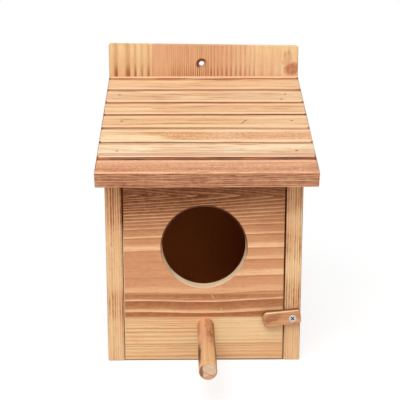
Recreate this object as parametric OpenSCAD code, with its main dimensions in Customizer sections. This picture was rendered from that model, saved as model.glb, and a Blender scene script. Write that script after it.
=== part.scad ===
/* [Box] */
// Outside width over the two side walls
box_w = 180; // [150:1:240]
// Depth of the side walls, from their front edges to the back board
box_d = 145; // [110:1:200]
// Height of the side walls at their front edges
wall_front_h = 184; // [165:1:260]
// Thickness of every board
board_t = 15; // [10:0.5:20]
// Width of the flat planed off the sharp edges of the boards
ease = 0.8; // [0.3:0.1:1.5]
// How far the box sits to the left of the back board's centre line
box_shift = 2; // [0:0.5:5]

/* [Back board] */
// Height of the back board above the roof, at its left corner
back_rise = 33.5; // [25:0.5:80]
// How far out of square the top of the back board is cut, lower on the right
back_skew = 2.6; // [0:0.1:5]
// Distance from the top left corner of the back board down to the hanging hole
hang_drop = 20.8; // [15:0.1:21]
// Diameter of the hanging hole
hang_d = 5.5; // [4:0.5:8]
// Diameter of the countersink in front of the hanging hole
hang_sink_d = 11.5; // [9:0.5:16]

/* [Roof] */
// Slope of the roof board, falling to the front, in degrees
roof_slope = 20; // [10:1:30]
// How far the roof reaches in front of the side walls
roof_over = 35; // [20:1:60]
// How far the roof and the back board reach past the box on each side
roof_side = 7.5; // [6:0.5:20]
// Spacing of the grooves behind the double groove
groove_pitch = 26.5; // [18:0.1:40]
// Width of the first strip, from the front edge to the double groove
front_strip = 23.6; // [18:0.1:40]
// Width of a groove at the surface
groove_w = 2.6; // [1.5:0.1:4]
// Depth of a groove
groove_depth = 1.8; // [1:0.1:3]
// Distance between the two cuts of the double groove
double_step = 3.6; // [3:0.1:6]

/* [Front panel] */
// Gap between the panel and each side wall
panel_side_gap = 0.8; // [0.5:0.1:3]
// Gap between the top of the panel and the roof
panel_top_gap = 3; // [2:0.5:8]
// How far the bottom of the panel stays above the base
panel_lift = 0.5; // [0.5:0.5:4]
// How far the panel sits behind the front edges of the side walls
panel_recess = 1; // [0:0.5:4]
// Diameter of the entrance hole
hole_d = 78; // [28:1:80]
// Distance from the panel's top edge to the centre of the entrance hole
hole_drop = 71; // [50:1:90]
// Height of the two pivot screws below the panel's top edge
pivot_drop = 11; // [10:1:20]

/* [Floor] */
// Gap between the panel and the front edge of the floor
floor_gap = 1.5; // [0.5:0.5:5]

/* [Perch] */
// Diameter of the perch
perch_d = 15.5; // [8:0.5:18]
// Length of the perch, with the end that is set in the panel
perch_l = 120; // [60:1:150]
// Height of the perch's centre above the base
perch_z = 34; // [20:0.5:40]
// How far the perch is to the right of the panel's centre line
perch_x = 1.5; // [-5:0.5:5]

/* [Turn button] */
// Distance from the screw to the free end of the turn button
button_reach = 27.2; // [20:0.1:35]
// Distance from the screw to the short end of the turn button
button_heel = 7.8; // [5:0.1:8]
// Width of the turn button at its free end
button_w = 14.2; // [11:0.1:20]
// Width of the turn button at its short end
button_heel_w = 13; // [11:0.1:20]
// Thickness of the turn button
button_t = 6; // [5:0.5:10]
// How far the screw sits below the turn button's centre line
button_offset = 1.2; // [0:0.1:2]
// How far the free end hangs below level, in degrees
button_tilt = 6.5; // [0:0.5:30]
// Height of the turn button's screw above the base
button_z = 43.5; // [35:0.5:80]
// Distance from the outside of the right wall to the turn button's screw
button_in = 8; // [7:0.5:12]
// Gap between the turn button and the front edge of the wall
button_gap = 0.3; // [0.2:0.1:1]

/* [Screws] */
// Diameter of the screws
screw_d = 3.5; // [3:0.5:4]
// Diameter of the screw heads
head_d = 7; // [6:0.5:8]
// Length of each screw
screw_l = 30; // [25:1:40]
// Clearance all round between the turn button and its screw
turn_clear = 0.08; // [0.02:0.01:0.1]
// Clearance all round a fixed screw or dowel in its hole
seat_clear = 0.05; // [0:0.01:0.1]

/* [Hidden] */
$fn = 96;
// Small overlap that lets a cut run clear of a face
over = 1;
// Wood and metal colours
pale_wood = "#e8bd8a";
red_wood = "#cf9468";
brown_wood = "#a86a3f";
zinc = "#c9c7c0";

// Overall box
inside_w = box_w - 2 * board_t;
roof_w = box_w + 2 * roof_side;
perch_reach = perch_l - board_t - panel_recess;
front_y = max(perch_reach, roof_over);
mid_y = (box_d + board_t - front_y) / 2;

// Roof board, whose underside meets the tops of the side walls
roof_rise = tan(roof_slope);
roof_top_z = wall_front_h + board_t / cos(roof_slope) - roof_over * roof_rise;
roof_len = (box_d + roof_over) / cos(roof_slope);
roof_len_under = (box_d + roof_over - board_t * sin(roof_slope)) / cos(roof_slope);
back_h = roof_top_z + (box_d + roof_over) * roof_rise + back_rise;
single_grooves = floor((roof_len - front_strip - double_step - groove_w) / groove_pitch);
// How far each groove is from the front edge: the double groove, then the single ones
grooves = concat(
    [front_strip, front_strip + double_step],
    [for (i = [1:single_grooves]) front_strip + double_step + i * groove_pitch]);
// Outline of the V cutter for one groove, standing clear of the surface at height 0
groove_cut = [
    [0, -groove_depth],
    [groove_w / 2 * (1 + over / groove_depth), over],
    [-groove_w / 2 * (1 + over / groove_depth), over]];

// Front panel
panel_w = inside_w - 2 * panel_side_gap;
panel_top = wall_front_h - panel_top_gap;
panel_h = panel_top - panel_lift;
panel_back = panel_recess + board_t;
pivot_y = panel_recess + board_t / 2;
pivot_z = panel_top - pivot_drop;
hole_z = panel_top - hole_drop;

// Screws
head_h = (head_d - screw_d) / 2;
head_rim = 0.3;
tip_h = 4;
tip_d = 0.8;
recess_l = 0.62 * head_d;
recess_w = 0.14 * head_d;
recess_depth = head_rim + 0.6 * head_h;
button_x = box_w / 2 - button_in;
corner_free = 4.5;
corner_heel = 2.6;
button_ease = 0.7;

// Outline of an a by b rectangle with its corners planed off by e
function eased_rect(a, b, e) = [
    [e, 0], [a - e, 0], [a, e], [a, b - e],
    [a - e, b], [e, b], [0, b - e], [0, e]];

// Turns a shape drawn in plan into one that lies in the YZ plane, extruded along X
module along_x(length) {
    rotate([90, 0, 90])
        linear_extrude(length)
            children();
}

// Turns a shape drawn in plan into one that lies in the XZ plane, extruded back along Y
module along_y(length) {
    translate([0, length, 0])
        rotate([90, 0, 0])
            linear_extrude(length)
                children();
}

// Board w wide, t thick and h high with every edge eased, standing on the XY plane
module eased_board(w, t, h) {
    intersection() {
        linear_extrude(h)
            polygon(eased_rect(w, t, ease));
        along_y(t)
            polygon(eased_rect(w, h, ease));
        along_x(w)
            polygon(eased_rect(t, h, ease));
    }
}

// Countersunk cross-head screw, its head at the origin and its point towards +Z
module screw() {
    difference() {
        union() {
            cylinder(h = head_rim, d = head_d);
            translate([0, 0, head_rim])
                cylinder(h = head_h, d1 = head_d, d2 = screw_d);
            cylinder(h = screw_l - tip_h, d = screw_d);
            translate([0, 0, screw_l - tip_h])
                cylinder(h = tip_h, d1 = screw_d, d2 = tip_d);
        }
        for (turn = [45, 135])
            rotate([0, 0, turn])
                translate([-recess_l / 2, -recess_w / 2, -over])
                    cube([recess_l, recess_w, recess_depth + over]);
    }
}

// The hole that a screw leaves in wood, wider than it by gap all round
module screw_hole(gap) {
    translate([0, 0, -over])
        cylinder(h = over + head_rim, d = head_d + 2 * gap);
    translate([0, 0, head_rim])
        cylinder(h = head_h, d1 = head_d + 2 * gap, d2 = screw_d + 2 * gap);
    cylinder(h = screw_l - tip_h, d = screw_d + 2 * gap);
    translate([0, 0, screw_l - tip_h])
        cylinder(h = tip_h + gap, d1 = screw_d + 2 * gap, d2 = tip_d + 2 * gap);
}

// Moves the box, as built on its own centre line, to its place on the back board
module on_box() {
    translate([-box_shift, -mid_y, 0])
        children();
}

// Places a screw at one of the two pivots; side is -1 on the left and 1 on the right
module at_pivot(side) {
    translate([side * box_w / 2, pivot_y, pivot_z])
        rotate([0, -side * 90, 0])
            children();
}

// Places the turn button's screw in the front edge of the right wall
module at_button() {
    translate([button_x, -button_gap - button_t, button_z])
        rotate([-90, 0, 0])
            children();
}

// Back board before its hole is bored; the last shape keeps what lies below its skewed top
module back_blank() {
    top_right = back_h - back_skew;
    intersection() {
        linear_extrude(back_h + over)
            polygon(eased_rect(roof_w, board_t, ease));
        along_y(board_t)
            polygon([
                [ease, 0], [roof_w - ease, 0], [roof_w, ease],
                [roof_w, top_right - ease], [roof_w - ease - over, top_right + over],
                [ease + over, back_h + over], [0, back_h - ease], [0, ease]]);
        along_x(roof_w)
            polygon(eased_rect(board_t, back_h + 2 * over, ease));
        translate([0, 0, back_h])
            rotate([0, atan(back_skew / roof_w), 0])
                translate([-roof_w / 4, 0, 0])
                    along_x(1.5 * roof_w)
                        polygon([
                            [-over, -2 * back_h], [board_t + over, -2 * back_h],
                            [board_t + over, -ease - over], [board_t - ease, 0],
                            [ease, 0], [-over, -ease - over]]);
    }
}

module back_board() {
    color(red_wood)
        translate([0, box_d - mid_y, 0])
            difference() {
                translate([-roof_w / 2, 0, 0])
                    back_blank();
                translate([-box_shift, 0, back_h - hang_drop])
                    rotate([-90, 0, 0]) {
                        translate([0, 0, -over])
                            cylinder(h = board_t + 2 * over, d = hang_d);
                        cylinder(h = (hang_sink_d - hang_d) / 2, d1 = hang_sink_d, d2 = hang_d);
                    }
            }
}

// Side wall with its top cut to the slope of the roof
module side_wall() {
    intersection() {
        along_x(board_t)
            polygon([
                [ease, 0], [box_d - ease, 0], [box_d, ease],
                [box_d, wall_front_h + box_d * roof_rise],
                [0, wall_front_h], [0, ease]]);
        linear_extrude(back_h)
            polygon(eased_rect(board_t, box_d, ease));
        along_y(box_d)
            polygon(eased_rect(board_t, back_h, ease));
    }
}

module left_wall() {
    color(red_wood)
        on_box()
            difference() {
                translate([-box_w / 2, 0, 0])
                    side_wall();
                at_pivot(-1)
                    screw_hole(seat_clear);
            }
}

module right_wall() {
    color(red_wood)
        on_box()
            difference() {
                translate([box_w / 2 - board_t, 0, 0])
                    side_wall();
                at_pivot(1)
                    screw_hole(seat_clear);
                at_button()
                    screw_hole(seat_clear);
            }
}

module floor_board() {
    front = panel_back + floor_gap;
    color(pale_wood)
        on_box()
            translate([-inside_w / 2, front, 0])
                eased_board(inside_w, box_d - front, board_t);
}

// One board, built level from its top front edge and then tilted, with grooves cut across the top
module roof_board() {
    color(pale_wood)
        translate([0, -mid_y - roof_over, roof_top_z])
            rotate([roof_slope, 0, 0])
                difference() {
                    intersection() {
                        translate([-roof_w / 2, 0, 0])
                            along_x(roof_w)
                                polygon([
                                    [ease, -board_t], [roof_len_under, -board_t], [roof_len, 0],
                                    [ease, 0], [0, -ease], [0, ease - board_t]]);
                        translate([-roof_w / 2, -over, -board_t])
                            along_y(roof_len + 2 * over)
                                polygon(eased_rect(roof_w, board_t, ease));
                    }
                    for (u = grooves)
                        translate([-roof_w / 2 - over, u, 0])
                            along_x(roof_w + 2 * over)
                                polygon(groove_cut);
                }
}

module front_panel() {
    color(brown_wood)
        on_box()
            difference() {
                translate([-panel_w / 2, panel_recess, panel_lift])
                    eased_board(panel_w, board_t, panel_h);
                translate([0, panel_recess, hole_z])
                    rotate([-90, 0, 0]) {
                        translate([0, 0, -over])
                            cylinder(h = board_t + 2 * over, d = hole_d);
                        cylinder(h = ease, d1 = hole_d + 2 * ease, d2 = hole_d);
                        translate([0, 0, board_t - ease])
                            cylinder(h = ease, d1 = hole_d, d2 = hole_d + 2 * ease);
                    }
                translate([perch_x, panel_recess - over, perch_z])
                    rotate([-90, 0, 0])
                        cylinder(h = board_t + 2 * over, d = perch_d + 2 * seat_clear);
                for (side = [-1, 1])
                    at_pivot(side)
                        screw_hole(seat_clear);
            }
}

// Round dowel with eased ends, set through the panel
module perch() {
    r = perch_d / 2;
    color(red_wood)
        on_box()
            translate([perch_x, -perch_reach, perch_z])
                rotate([-90, 0, 0])
                    rotate_extrude()
                        polygon([
                            [0, 0], [r - ease, 0], [r, ease],
                            [r, perch_l - ease], [r - ease, perch_l], [0, perch_l]]);
}

// One rounded corner of the turn button, eased on its front face
module button_corner(x, y, r) {
    translate([x, y, 0])
        cylinder(h = button_t - button_ease, r = r, $fn = 32);
    translate([x, y, button_t - button_ease])
        cylinder(h = button_ease, r1 = r, r2 = r - button_ease, $fn = 32);
}

module turn_button() {
    color(red_wood)
        on_box()
            difference() {
                translate([button_x, -button_gap, button_z])
                    rotate([0, -button_tilt, 0])
                        rotate([90, 0, 0])
                            hull()
                                for (side = [-1, 1]) {
                                    button_corner(corner_free - button_reach,
                                        button_offset + side * (button_w / 2 - corner_free), corner_free);
                                    button_corner(button_heel - corner_heel,
                                        button_offset + side * (button_heel_w / 2 - corner_heel), corner_heel);
                                }
                at_button()
                    screw_hole(turn_clear);
            }
}

module turn_button_screw() {
    color(zinc)
        on_box()
            at_button()
                screw();
}

module left_pivot_screw() {
    color(zinc)
        on_box()
            at_pivot(-1)
                screw();
}

module right_pivot_screw() {
    color(zinc)
        on_box()
            at_pivot(1)
                screw();
}

back_board();
left_wall();
right_wall();
floor_board();
roof_board();
front_panel();
perch();
turn_button();
turn_button_screw();
left_pivot_screw();
right_pivot_screw();
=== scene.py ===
"""Nest box of scorched, brushed softwood: its finishes, brads, studio light and camera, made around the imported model.

Wood finishes work in millimetres along the grain, across it and into the board, so a ring or fibre keeps its real size.
"""

import math

import bpy
import numpy as np
from mathutils import Euler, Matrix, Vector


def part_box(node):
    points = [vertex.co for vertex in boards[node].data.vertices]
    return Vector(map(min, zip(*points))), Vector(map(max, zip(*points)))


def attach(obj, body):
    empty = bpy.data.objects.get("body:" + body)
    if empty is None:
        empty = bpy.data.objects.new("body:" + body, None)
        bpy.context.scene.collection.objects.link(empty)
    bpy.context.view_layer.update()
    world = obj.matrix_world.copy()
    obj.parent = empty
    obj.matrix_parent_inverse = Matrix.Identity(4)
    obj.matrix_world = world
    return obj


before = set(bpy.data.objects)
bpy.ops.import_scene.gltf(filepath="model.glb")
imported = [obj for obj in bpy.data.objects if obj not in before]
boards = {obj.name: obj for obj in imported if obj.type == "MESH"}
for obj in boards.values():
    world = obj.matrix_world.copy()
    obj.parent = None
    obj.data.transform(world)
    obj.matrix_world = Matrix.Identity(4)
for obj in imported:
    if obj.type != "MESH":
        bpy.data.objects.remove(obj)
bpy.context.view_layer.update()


# ---------------- sizes, in millimetres


def span(board):
    """Lowest and highest corner of a packed board, in millimetres."""
    low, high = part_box(board)
    return np.array(low) * 1000, np.array(high) * 1000


PANEL_LOW, PANEL_HIGH = span("front_panel")
BACK_LOW, BACK_HIGH = span("back_board")
LEFT_LOW, LEFT_HIGH = span("left_wall")
RIGHT_LOW, RIGHT_HIGH = span("right_wall")
FLOOR_LOW, FLOOR_HIGH = span("floor_board")
ROOF_LOW, ROOF_HIGH = span("roof_board")
PERCH_LOW, PERCH_HIGH = span("perch")
BUTTON_LOW, BUTTON_HIGH = span("turn_button")

BOARD = BACK_HIGH[1] - BACK_LOW[1]
ROOF_SLOPE = math.radians(20)
ROOF_EDGE = ROOF_HIGH[2] - (ROOF_HIGH[1] - ROOF_LOW[1]) * math.tan(ROOF_SLOPE)
# Middle of the first groove back from the roof's edge, step to its twin, steps to the others, half a groove's width
FIRST_GROOVE, DOUBLE_STEP, GROOVE_STEP, GROOVE_REACH = 23.6, 3.6, 26.5, 1.3
MIDDLE_X = (LEFT_LOW[0] + RIGHT_HIGH[0]) / 2
HOLE_Z, HOLE_RADIUS = PANEL_HIGH[2] - 71, 39.0
STAVE_JOINT = 42.6
HANG_Z = 265.4
BUTTON_TILT = math.radians(6.5)


# ---------------- node arithmetic


def shade(colour):
    """The linear colour of a paint swatch (red, green, blue) given as 0 to 255; anything else comes back as it is."""
    if not isinstance(colour, tuple) or len(colour) != 3:
        return colour
    return tuple((((c / 255 + 0.055) / 1.055) ** 2.4 if c > 10 else c / 3294.6) for c in colour) + (1.0,)


def add_node(tree, kind, **settings):
    """A new node with its settings."""
    node = tree.nodes.new(kind)
    for name, value in settings.items():
        setattr(node, name, value)
    return node


def feed(socket, value):
    """Links a socket to a wire, or sets its constant."""
    if isinstance(value, Wire):
        socket.id_data.links.new(value.socket, socket)
    else:
        socket.default_value = value


def bare_tree(owner):
    """The emptied node tree of a material or a world."""
    owner.use_nodes = True
    owner.node_tree.nodes.clear()
    return owner.node_tree


def tree_of(values):
    """The node tree that the first wire among the values belongs to."""
    return next(value for value in values if isinstance(value, Wire)).socket.id_data


def reckon(operation, *values, clamp=False):
    """One Math node."""
    node = add_node(tree_of(values), "ShaderNodeMath", operation=operation, use_clamp=clamp)
    for socket, value in zip(node.inputs, values):
        feed(socket, value)
    return Wire(node.outputs[0])


def limited(first, second):
    """The product of two numbers, kept from 0 to 1."""
    return reckon("MULTIPLY", first, second, clamp=True)


class Wire:
    """A number, vector or colour flowing through a node tree; arithmetic on numbers adds Math nodes."""

    def __init__(self, socket):
        self.socket = socket

    def __add__(self, other):
        return reckon("ADD", self, other)

    def __sub__(self, other):
        return reckon("SUBTRACT", self, other)

    def __mul__(self, other):
        return reckon("MULTIPLY", self, other)

    def __truediv__(self, other):
        return reckon("DIVIDE", self, other)

    def __rsub__(self, other):
        return reckon("SUBTRACT", other, self)

    __radd__ = __add__
    __rmul__ = __mul__


def vector_math(operation, *values):
    """One Vector Math node; dot products and lengths come out as a number."""
    node = add_node(tree_of(values), "ShaderNodeVectorMath", operation=operation)
    for socket, value in zip(node.inputs, values):
        feed(socket, value)
    return Wire(node.outputs[1 if operation in ("DOT_PRODUCT", "LENGTH") else 0])


def parts(vector):
    """The three numbers in a vector."""
    node = add_node(tree_of([vector]), "ShaderNodeSeparateXYZ")
    feed(node.inputs[0], vector)
    return [Wire(socket) for socket in node.outputs]


def join(*values):
    """A vector made of three numbers."""
    node = add_node(tree_of(values), "ShaderNodeCombineXYZ")
    for socket, value in zip(node.inputs, values):
        feed(socket, value)
    return Wire(node.outputs[0])


def noise(place, fineness, seed=0.0, detail=2.0, roughness=0.5):
    """Smooth noise about 0.5, with that many waves a millimetre along the grain, across it and into the board."""
    shifted = vector_math("MULTIPLY_ADD", place, fineness, (seed * 7.31, seed * 3.17, seed * 5.77))
    node = add_node(tree_of([place]), "ShaderNodeTexNoise")
    feed(node.inputs["Vector"], shifted)
    node.inputs["Scale"].default_value = 1.0
    node.inputs["Detail"].default_value = detail
    node.inputs["Roughness"].default_value = roughness
    return Wire(node.outputs[0])


def chance(value, seed=0.0):
    """A number from 0 to 1 that is random for each whole value."""
    node = add_node(tree_of([value]), "ShaderNodeTexWhiteNoise", noise_dimensions="1D")
    feed(node.inputs["W"], value + (seed * 11.7 + 0.37))
    return Wire(node.outputs["Value"])


def smooth(value, low, high, bottom=0.0, top=1.0):
    """Eases from bottom to top as the value goes from low to high."""
    node = add_node(tree_of([value, low, high]), "ShaderNodeMapRange", interpolation_type="SMOOTHSTEP")
    for socket, number in zip(node.inputs, (value, low, high, bottom, top)):
        feed(socket, number)
    return Wire(node.outputs[0])


def fall(value, low, high):
    """Eases from 1 to 0 as the value goes from low to high."""
    return smooth(value, low, high, 1.0, 0.0)


def band(value, low, high, soft=1.0):
    """1 between low and high, easing to 0 over a soft edge."""
    return smooth(value, low - soft, low + soft) * fall(value, high - soft, high + soft)


def line(count, width=0.5):
    """A soft line at every whole number, its width a share of the spacing."""
    off = reckon("ABSOLUTE", reckon("FRACT", count + 0.5) - 0.5)
    return fall(off, width * 0.15, width * 0.7)


def mix(share, first, second, blend_type="MIX"):
    """One colour or number laid over another."""
    node = add_node(tree_of([share, first, second]), "ShaderNodeMix", data_type="RGBA", blend_type=blend_type)
    for socket, value in zip((node.inputs[0], node.inputs[6], node.inputs[7]), (share, shade(first), shade(second))):
        feed(socket, value)
    return Wire(node.outputs[2])


def dim(colour, amount):
    """A colour made darker or lighter by a factor."""
    node = add_node(tree_of([colour, amount]), "ShaderNodeVectorMath", operation="SCALE")
    feed(node.inputs[0], colour)
    feed(node.inputs["Scale"], amount)
    return Wire(node.outputs[0])


def scorch(colour, amount):
    """A colour browned by a share of a full scorching, which takes blue most and red least."""
    return mix(amount, colour, (0.66, 0.45, 0.3, 1.0), "MULTIPLY")


def curve(value, points, reach, height):
    """A number read off a drawn curve through (value, result) points; reach and height are its scales' ends."""
    node = add_node(tree_of([value]), "ShaderNodeFloatCurve")
    feed(node.inputs["Value"], value / reach)
    drawn = node.mapping.curves[0].points
    while len(drawn) < len(points):
        drawn.new(0.5, 0.5)
    for knot, (along, up) in zip(drawn, points):
        knot.location = (along / reach, up / height)
        knot.handle_type = "VECTOR"
    node.mapping.update()
    return Wire(node.outputs[0]) * height


def swatches(value, colours):
    """Steps from colour to colour as the value passes each whole number from 0."""
    node = add_node(tree_of([value]), "ShaderNodeValToRGB")
    feed(node.inputs[0], (value + 0.5) / len(colours))
    ramp = node.color_ramp
    ramp.interpolation = "CONSTANT"
    while len(ramp.elements) < len(colours):
        ramp.elements.new(0.5)
    for index, (stop, colour) in enumerate(zip(ramp.elements, colours)):
        stop.position = index / len(colours)
        stop.color = shade(colour)
    return Wire(node.outputs[0])


# ---------------- shared effects, as node groups


ORIGIN, X_AXIS, Y_AXIS, Z_AXIS = (0.0, 0.0, 0.0), (1.0, 0.0, 0.0), (0.0, 1.0, 0.0), (0.0, 0.0, 1.0)
SOCKETS = {float: "NodeSocketFloat", 3: "NodeSocketVector", 4: "NodeSocketColor"}


def effect(outputs, **inputs):
    """Turns a function into a shader node group, with its arguments as named inputs and its results as named outputs.

    Calling the function afterwards places the group in the node tree of the wires that it is given.
    """

    def build(body):
        group = bpy.data.node_groups.new(body.__name__, "ShaderNodeTree")
        for label, value in inputs.items():
            kind = SOCKETS[float if isinstance(value, float) else len(value)]
            group.interface.new_socket(name=label, in_out="INPUT", socket_type=kind).default_value = value
        for label, kind in outputs.items():
            group.interface.new_socket(name=label, in_out="OUTPUT", socket_type=SOCKETS[kind])
        source, drain = group.nodes.new("NodeGroupInput"), group.nodes.new("NodeGroupOutput")
        found = body(*(Wire(source.outputs[label]) for label in inputs))
        for label, wire in zip(outputs, found if isinstance(found, tuple) else (found,)):
            feed(drain.inputs[label], wire)

        def place_group(*values):
            node = add_node(tree_of(values), "ShaderNodeGroup", node_tree=group)
            for label, value in zip(inputs, values):
                feed(node.inputs[label], value)
            wires = [Wire(node.outputs[label]) for label in outputs]
            return wires[0] if len(wires) == 1 else wires

        return place_group

    return build


@effect({"place": 3}, point=ORIGIN, start=ORIGIN, along=X_AXIS, across=Z_AXIS, inward=Y_AXIS)
def grain_axes(point, start, along, across, inward):
    """Turns a point in metres into millimetres along the grain, across it and into the board."""
    from_start = vector_math("SUBTRACT", vector_math("MULTIPLY", point, (1000.0, 1000.0, 1000.0)), start)
    return join(*(vector_math("DOT_PRODUCT", from_start, axis) for axis in (along, across, inward)))


@effect({"bent": 3}, place=ORIGIN, sweep=2.0, ripple=0.4, seed=0.0)
def wander(place, sweep, ripple, seed):
    """Bends straight grain: a long sweep and a short ripple push each place sideways by up to a few millimetres."""
    along, across, inward = parts(place)
    long_wave = noise(join(along + seed * 41.0, across, inward), (0.011, 0.016, 0.016), 1.0, 1.0)
    short_wave = noise(join(along + seed * 17.0, across, inward), (0.045, 0.11, 0.11), 2.0, 2.0)
    push = (long_wave - 0.5) * sweep * 2.0 + (short_wave - 0.5) * ripple * 2.0
    return join(along, across + push, inward + push * 0.6)


@effect({"late": float, "rise": float, "year": float}, count=0.0, share=0.3)
def growth_rings(count, share):
    """Each whole step of count is a year: soft early wood, rising to a hard late line that ends sharply."""
    rise = reckon("FRACT", count)
    start = 1.0 - share
    late = smooth(rise, start - share * 0.55, start + share * 0.35) * fall(rise, 0.95, 1.0)
    return late, rise, chance(reckon("FLOOR", count))


@effect({"streak": float, "dash": float, "fleck": float}, place=ORIGIN, seed=0.0)
def fibres(place, seed):
    """Fine streaks along the grain, longer dark dashes, and short flecks where brushing opened the pores."""
    along, across, inward = parts(place)
    shifted = join(along + seed * 23.0, across + seed * 9.0, inward)
    streak = smooth(noise(shifted, (0.022, 0.95, 0.95), 3.0, 5.0, 0.62), 0.3, 0.7)
    dash = smooth(noise(shifted, (0.028, 0.42, 0.42), 5.0, 2.0, 0.5), 0.52, 0.72)
    fleck = smooth(noise(shifted, (0.16, 0.8, 0.8), 4.0, 2.0, 0.55), 0.56, 0.72)
    return streak, dash, fleck


@effect({"colour": 4}, colour=(0.8, 0.8, 0.8, 1.0), streak=0.0, fleck=0.0, depth=0.3)
def fibrous(colour, streak, fleck, depth):
    """A colour with its fibres: a little lighter between them, browner along them and at the opened pores."""
    return scorch(dim(colour, 1.04), limited(1.0 - streak + fleck * 0.8, depth))


@effect({"cloud": float, "mottle": float}, place=ORIGIN, seed=0.0)
def torch_marks(place, seed):
    """Marks of the torch: a broad uneven cloud, and fine mottling where the flame bit into soft wood."""
    along, across, inward = parts(place)
    shifted = join(along + seed * 53.0, across + seed * 31.0, inward)
    cloud = smooth(noise(shifted, (0.016, 0.034, 0.034), 5.0, 2.0, 0.55), 0.32, 0.68)
    mottle = smooth(noise(shifted, (0.16, 0.3, 0.3), 6.0, 4.0, 0.68), 0.34, 0.68)
    return cloud, mottle


@effect({"reach": float}, place=ORIGIN, low=ORIGIN, high=(1.0, 1.0, 1.0))
def edge_reach(place, low, high):
    """Millimetres from a place to a block's nearest edge: the middle one of its distances to the pairs of faces."""
    nearest = vector_math("MINIMUM", vector_math("SUBTRACT", place, low), vector_math("SUBTRACT", high, place))
    first, second, third = parts(vector_math("ABSOLUTE", nearest))
    lesser, greater = reckon("MINIMUM", first, second), reckon("MAXIMUM", first, second)
    return reckon("MAXIMUM", lesser, reckon("MINIMUM", greater, third))


@effect({"mark": float}, place=ORIGIN, centre=ORIGIN, size=(1.0, 1.0, 1.0), turn=0.0)
def spot(place, centre, size, turn):
    """A soft ragged oval mark on the grain plane, of that half length and half width, turned by an angle."""
    along, across, _ = parts(vector_math("SUBTRACT", place, centre))
    half_length, half_width, _ = parts(size)
    cosine, sine = reckon("COSINE", turn), reckon("SINE", turn)
    down = (along * cosine + across * sine) / half_length
    over = (across * cosine - along * sine) / half_width
    ragged = (noise(place, (0.35, 0.7, 0.7), 8.0, 2.0) - 0.5) * 0.7
    return fall(reckon("SQRT", down * down + over * over) + ragged, 0.55, 1.1)


@effect({"soot": float}, point=ORIGIN)
def cavity_soot(point):
    """1 on the faces round the nest cavity, which are scorched a deep brown."""
    x, y, z = parts(vector_math("MULTIPLY", point, (1000.0, 1000.0, 1000.0)))
    under_roof = ROOF_EDGE - BOARD / math.cos(ROOF_SLOPE) + (y - ROOF_LOW[1]) * math.tan(ROOF_SLOPE)
    side = band(x, LEFT_HIGH[0], RIGHT_LOW[0], 0.2)
    deep = band(y, PANEL_HIGH[1], BACK_LOW[1] + 0.6, 0.2)
    tall = smooth(z, FLOOR_HIGH[2] - 0.5, FLOOR_HIGH[2] - 0.2) * fall(z - under_roof, 0.4, 0.8)
    return reckon("MINIMUM", side * deep, tall)


@effect({"open": float}, height=0.0, right=0.0)
def gap_shade_amount(height, right):
    """How much painted shade the gap beside the panel gets: all of it near the top, and less lower on the left, where
    its faces get painted light instead.
    """
    return mix(right, smooth(height, 112.0, 140.0), smooth(height, 10.0, 110.0, 0.35, 1.0))


# ---------------- finishes


def new_finish(name):
    """A material with one Principled shader, and the wire of its Object coordinates."""
    material = bpy.data.materials.new(name)
    tree = bare_tree(material)
    surface = add_node(tree, "ShaderNodeBsdfPrincipled")
    output = add_node(tree, "ShaderNodeOutputMaterial")
    tree.links.new(surface.outputs[0], output.inputs["Surface"])
    point = Wire(add_node(tree, "ShaderNodeTexCoord").outputs["Object"])
    return material, surface, point


def wood_figure(place, sweep, ripple, seed):
    """What every wood has: its places bent across and inward, its streak, dash and fleck, its cloud and mottle."""
    bent = wander(place, sweep, ripple, seed)
    return *parts(bent)[1:], *fibres(bent, seed), *torch_marks(place, seed)


def dress(material, surface, colour, roughness, height):
    """Ends a finish: feeds its shader with a colour, a roughness and a height in millimetres."""
    feed(surface.inputs["Base Color"], colour)
    feed(surface.inputs["Roughness"], roughness)
    bump = add_node(tree_of([colour]), "ShaderNodeBump")
    bump.inputs["Distance"].default_value = 0.001
    feed(bump.inputs["Height"], height)
    feed(surface.inputs["Normal"], Wire(bump.outputs[0]))
    surface.inputs["Specular IOR Level"].default_value = 0.12
    return material


# Paint swatches that several finishes use
SOOT = (182, 99, 43)
GLUE_LINE = (196, 134, 96)
# Painted light: a painted highlight on lit edges, and painted light on the faces of the narrow gaps beside the panel
PAINTED_LIGHT = (252, 222, 180)
CHAR = (120, 66, 40)
# Painted shade for the faces of the gaps beside the panel
GAP_SHADE = (104, 50, 22)


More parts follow.
